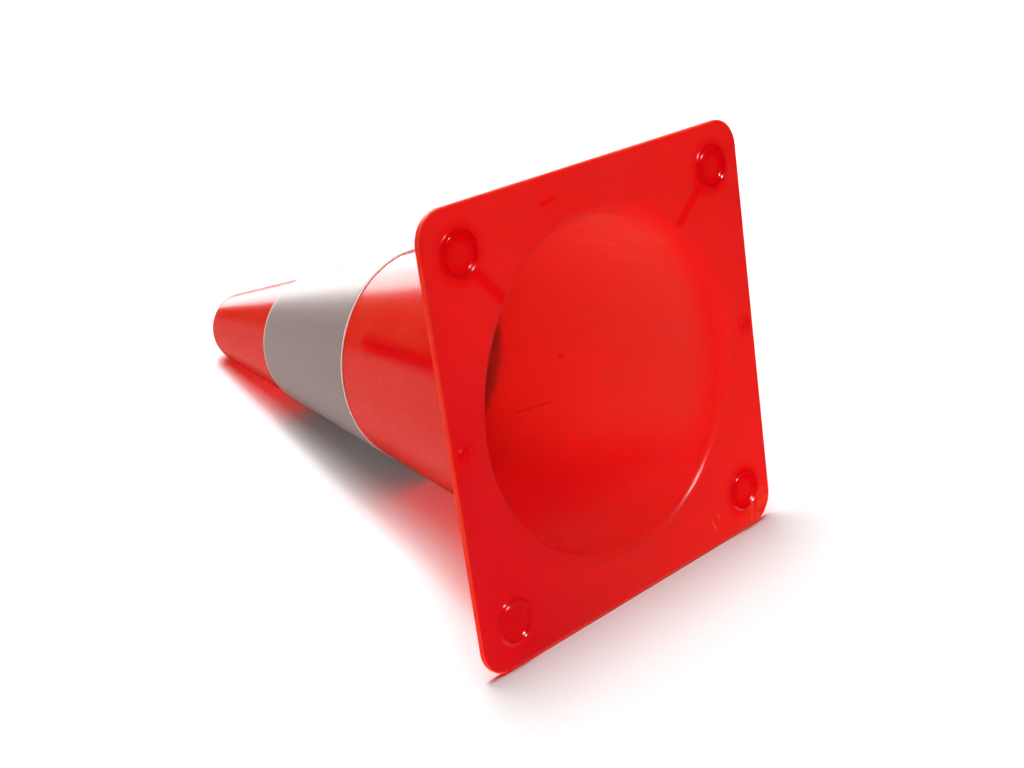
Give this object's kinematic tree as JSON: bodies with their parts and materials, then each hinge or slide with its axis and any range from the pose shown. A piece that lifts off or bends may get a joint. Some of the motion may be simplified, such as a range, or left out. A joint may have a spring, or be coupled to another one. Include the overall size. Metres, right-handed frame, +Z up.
{
  "type": "traffic cone",
  "caption": "Small one-piece moulded traffic cone with a square base on ring feet, an open inside for stacking, a rounded tip with a hole, and a bonded reflective collar.",
  "frame": {"origin": "centre of the ground contact plane under the base", "axes": "+Z up along the cone's axis towards the tip, +X and +Y along the sides of the square base; the collar's lap is in the +X +Y quarter"},
  "size_m": [0.204, 0.204, 0.3],
  "materials": {
    "cone_plastic": "translucent fluorescent red-orange PVC, glossy underside, finely matt outside",
    "adhesive": "clear pressure-sensitive adhesive",
    "white_carrier": "white vinyl, satin",
    "silver_film": "silver-grey retroreflective film, fine bead texture"
  },
  "bodies": {
    "root": {"cone_shell": "cone_plastic", "base_plate": "cone_plastic", "foot_left_front": "cone_plastic", "foot_right_front": "cone_plastic", "foot_left_back": "cone_plastic", "foot_right_back": "cone_plastic", "stud_left": "cone_plastic", "stud_right": "cone_plastic", "collar_adhesive": "adhesive", "collar_carrier": "white_carrier", "reflective_film": "silver_film", "collar_lap": "silver_film"}
  },
  "joints": []
}
